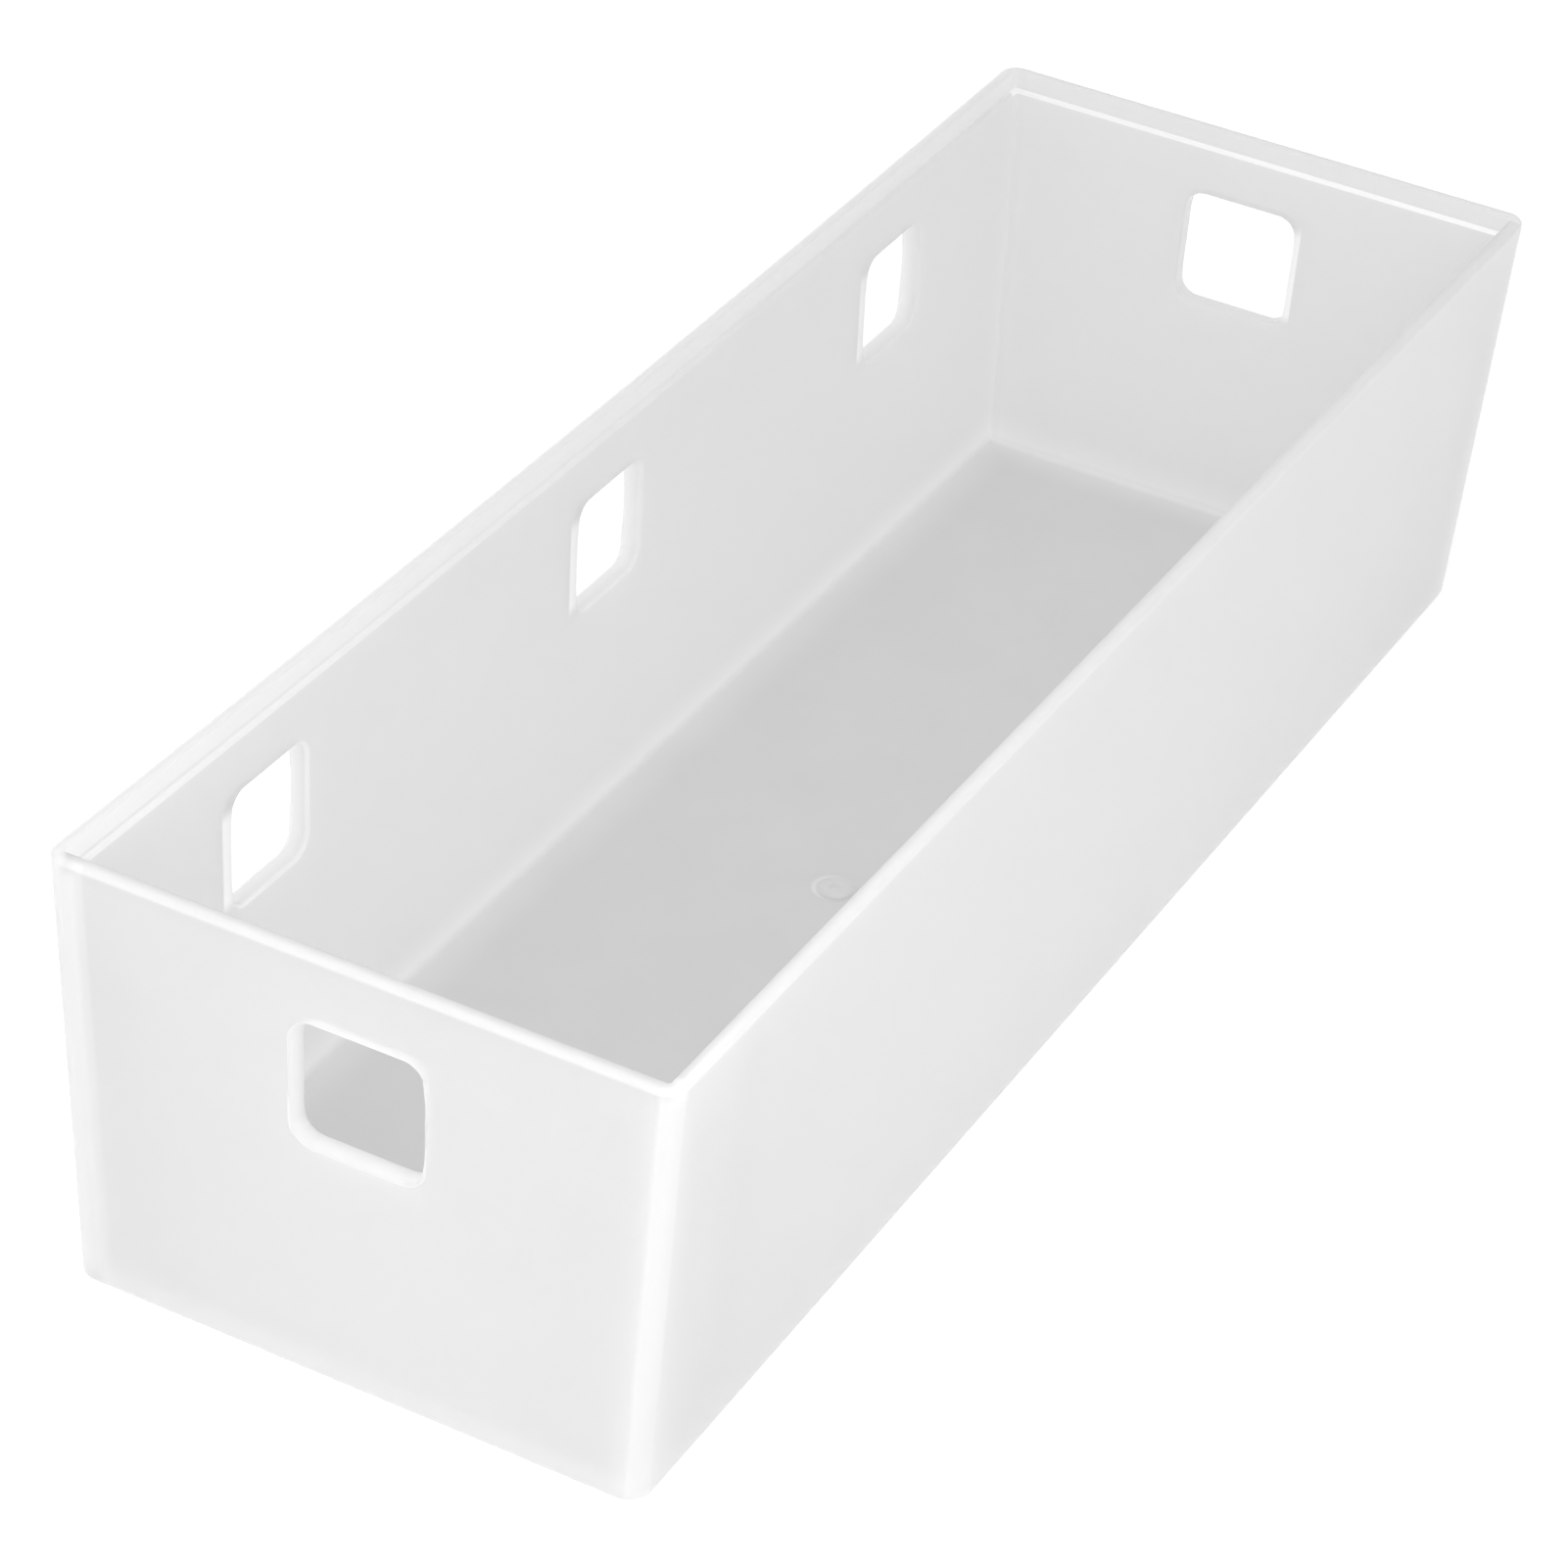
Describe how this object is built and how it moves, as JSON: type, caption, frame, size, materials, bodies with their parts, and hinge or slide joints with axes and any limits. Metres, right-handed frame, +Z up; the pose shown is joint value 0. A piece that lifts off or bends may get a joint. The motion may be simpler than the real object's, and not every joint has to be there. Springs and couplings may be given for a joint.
{
  "type": "drawer insert tray",
  "caption": "Open rectangular drawer tray in frosted white plastic, with drafted walls, a stacking ledge inside the rim and square windows in one long wall and both ends.",
  "frame": {"origin": "middle of the underside, on the plane the tray rests on", "axes": "+X across the tray towards its plain long wall, +Y along the tray, +Z up towards the open rim"},
  "size_m": [0.1, 0.299, 0.0745],
  "materials": {
    "frosted_plastic": "frosted, slightly translucent natural polypropylene with a fine satin surface"
  },
  "bodies": {
    "root": {"tray": "frosted_plastic"}
  },
  "joints": []
}
